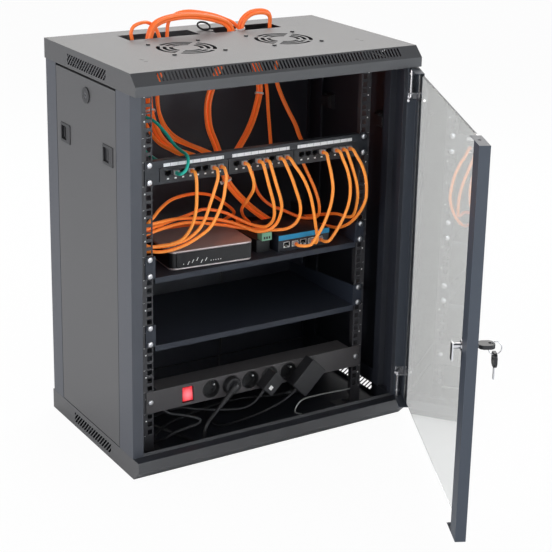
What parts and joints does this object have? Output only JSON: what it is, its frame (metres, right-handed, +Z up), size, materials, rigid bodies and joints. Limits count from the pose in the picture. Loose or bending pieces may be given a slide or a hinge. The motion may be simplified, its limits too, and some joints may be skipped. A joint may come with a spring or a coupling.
{
  "type": "network server rack cabinet",
  "caption": "Wall-mounted network rack cabinet with a hinged glass door, removable side panels, roof fans, rack equipment and its cabling.",
  "frame": {"origin": "centre of the underside of the base, on the floor plane", "axes": "+X to the right seen from the front, +Y to the rear wall, +Z up"},
  "size_m": [0.605, 0.9049, 0.8003],
  "materials": {
    "shell_gray": "fine textured powder coat",
    "frame_gray": "satin powder coat",
    "rail_dark": "satin powder coat",
    "bright_steel": "zinc plated",
    "spring_steel": "drawn wire",
    "black_steel": "blackened",
    "black_plastic": "moulded, fine grain",
    "door_gray": "fine textured powder coat",
    "smoked_glass": "tempered, lightly tinted",
    "foam_tape": "foam",
    "lock_chrome": "polished",
    "key_plastic": "moulded",
    "panel_black": "satin powder coat",
    "jack_plastic": "moulded",
    "label_white": "satin card behind film",
    "shelf_gray": "fine textured powder coat",
    "router_gray": "satin moulded",
    "router_black": "gloss",
    "switch_black": "moulded",
    "switch_blue": "satin",
    "converter_black": "moulded",
    "terminal_green": "moulded",
    "strip_gray": "painted extrusion",
    "rocker_red": "translucent, lit",
    "outlet_black": "moulded",
    "mains_black": "moulded",
    "clear_plastic": "clear polycarbonate",
    "tie_white": "nylon",
    "cord_orange": "satin jacket",
    "trunk_orange": "satin jacket",
    "lead_black": "matt jacket"
  },
  "bodies": {
    "cabinet": {"base_tray": "shell_gray", "top_cap": "shell_gray", "side_frame_left": "frame_gray", "side_frame_right": "frame_gray", "rear_panel": "frame_gray", "rail_left": "rail_dark", "rail_right": "rail_dark", "rail_brackets": "rail_dark", "bracket_bolts": "bright_steel", "fan_housings": "black_plastic", "fan_screws": "black_steel", "patch_panel": "panel_black", "jack_modules": "jack_plastic", "label_strips": "label_white", "rack_screws": "bright_steel", "cage_nuts": "bright_steel", "shelf_upper": "shelf_gray", "shelf_lower": "shelf_gray", "router_case": "router_gray", "router_face": "router_black", "switch_case": "switch_black", "switch_front": "switch_blue", "media_converter": "converter_black", "terminal_block": "terminal_green", "pdu_body": "strip_gray", "pdu_outlets": "outlet_black", "power_plug": "mains_black", "power_adapters": "mains_black", "patch_plugs": "clear_plastic", "cable_ties": "tie_white", "patch_cords": "cord_orange", "trunk_cords": "trunk_orange", "power_leads": "lead_black"},
    "side_panel_left": {"side_panel_left": "shell_gray", "panel_fittings_left": "black_plastic"},
    "side_panel_right": {"side_panel_right": "shell_gray", "panel_fittings_right": "black_plastic"},
    "panel_lock_left": {"panel_lock_left": "lock_chrome"},
    "panel_lock_right": {"panel_lock_right": "lock_chrome"},
    "latch_left_front": {"latch_left_front": "black_plastic"},
    "latch_left_rear": {"latch_left_rear": "black_plastic"},
    "latch_right_front": {"latch_right_front": "black_plastic"},
    "latch_right_rear": {"latch_right_rear": "black_plastic"},
    "fan_rotor_left": {"fan_rotor_left": "black_plastic"},
    "fan_rotor_right": {"fan_rotor_right": "black_plastic"},
    "door": {"hinge_stile": "door_gray", "lock_stile": "door_gray", "door_glass": "smoked_glass", "glass_tape": "foam_tape", "pin_guides": "bright_steel", "hinge_spring_top": "spring_steel", "hinge_spring_bottom": "spring_steel", "lock_body": "lock_chrome"},
    "hinge_pin_top": {"hinge_pin_top": "bright_steel"},
    "hinge_pin_bottom": {"hinge_pin_bottom": "bright_steel"},
    "door_lock": {"lock_core": "lock_chrome", "door_key": "key_plastic", "key_ring": "bright_steel"},
    "spare_key": {"spare_key": "key_plastic"},
    "strip_rocker": {"pdu_rocker": "rocker_red"}
  },
  "joints": [
    {"name": "door_swing", "type": "hinge", "parent": "cabinet", "child": "door", "pos_m": [0.288, -0.1795, 0.38], "axis": [0, 0, 1], "range_deg": [-64, 36]},
    {"name": "top_pin_slide", "type": "slide", "parent": "door", "child": "hinge_pin_top", "axis": [0, 0, -1], "range_m": [0, 0.01], "stiffness_N_per_m": 400, "springref_m": -0.004, "deforming": ["hinge_spring_top"]},
    {"name": "bottom_pin_slide", "type": "slide", "parent": "door", "child": "hinge_pin_bottom", "axis": [0, 0, 1], "range_m": [0, 0.01], "stiffness_N_per_m": 400, "springref_m": -0.004, "deforming": ["hinge_spring_bottom"]},
    {"name": "lock_turn", "type": "hinge", "parent": "door", "child": "door_lock", "pos_m": [0.04383, -0.68013, 0.38], "axis": [-0.8988, 0.4384, 0], "range_deg": [0, 90]},
    {"name": "spare_key_swing", "type": "hinge", "parent": "door_lock", "child": "spare_key", "pos_m": [0.08652, -0.70095, 0.3635], "axis": [-0.8988, 0.4384, 0], "range_deg": [-90, 0]},
    {"name": "left_panel_off", "type": "slide", "parent": "cabinet", "child": "side_panel_left", "axis": [-1, 0, 0], "range_m": [0, 0.06]},
    {"name": "right_panel_off", "type": "slide", "parent": "cabinet", "child": "side_panel_right", "axis": [1, 0, 0], "range_m": [0, 0.06]},
    {"name": "left_panel_lock_turn", "type": "hinge", "parent": "side_panel_left", "child": "panel_lock_left", "pos_m": [-0.297, 0.0055, 0.685], "axis": [1, 0, 0], "range_deg": [0, 90]},
    {"name": "right_panel_lock_turn", "type": "hinge", "parent": "side_panel_right", "child": "panel_lock_right", "pos_m": [0.297, 0.0055, 0.685], "axis": [1, 0, 0], "range_deg": [0, 90]},
    {"name": "left_fan_spin", "type": "hinge", "parent": "cabinet", "child": "fan_rotor_left", "pos_m": [-0.105, -0.0105, 0.735], "axis": [0, 0, 1], "continuous": true},
    {"name": "right_fan_spin", "type": "hinge", "parent": "cabinet", "child": "fan_rotor_right", "pos_m": [0.105, -0.0105, 0.735], "axis": [0, 0, 1], "continuous": true},
    {"name": "strip_switch_tilt", "type": "hinge", "parent": "cabinet", "child": "strip_rocker", "pos_m": [-0.153, -0.1033, 0.11267], "axis": [1, 0, 0], "range_deg": [0, 14]},
    {"name": "left_front_latch_slide", "type": "slide", "parent": "side_panel_left", "child": "latch_left_front", "axis": [0, -1, 0], "range_m": [0, 0.006]},
    {"name": "left_rear_latch_slide", "type": "slide", "parent": "side_panel_left", "child": "latch_left_rear", "axis": [0, 1, 0], "range_m": [0, 0.006]},
    {"name": "right_front_latch_slide", "type": "slide", "parent": "side_panel_right", "child": "latch_right_front", "axis": [0, -1, 0], "range_m": [0, 0.006]},
    {"name": "right_rear_latch_slide", "type": "slide", "parent": "side_panel_right", "child": "latch_right_rear", "axis": [0, 1, 0], "range_m": [0, 0.006]}
  ],
  "couplings": [
    {"joint": "spare_key_swing", "follows": "lock_turn", "ratio": -1}
  ]
}
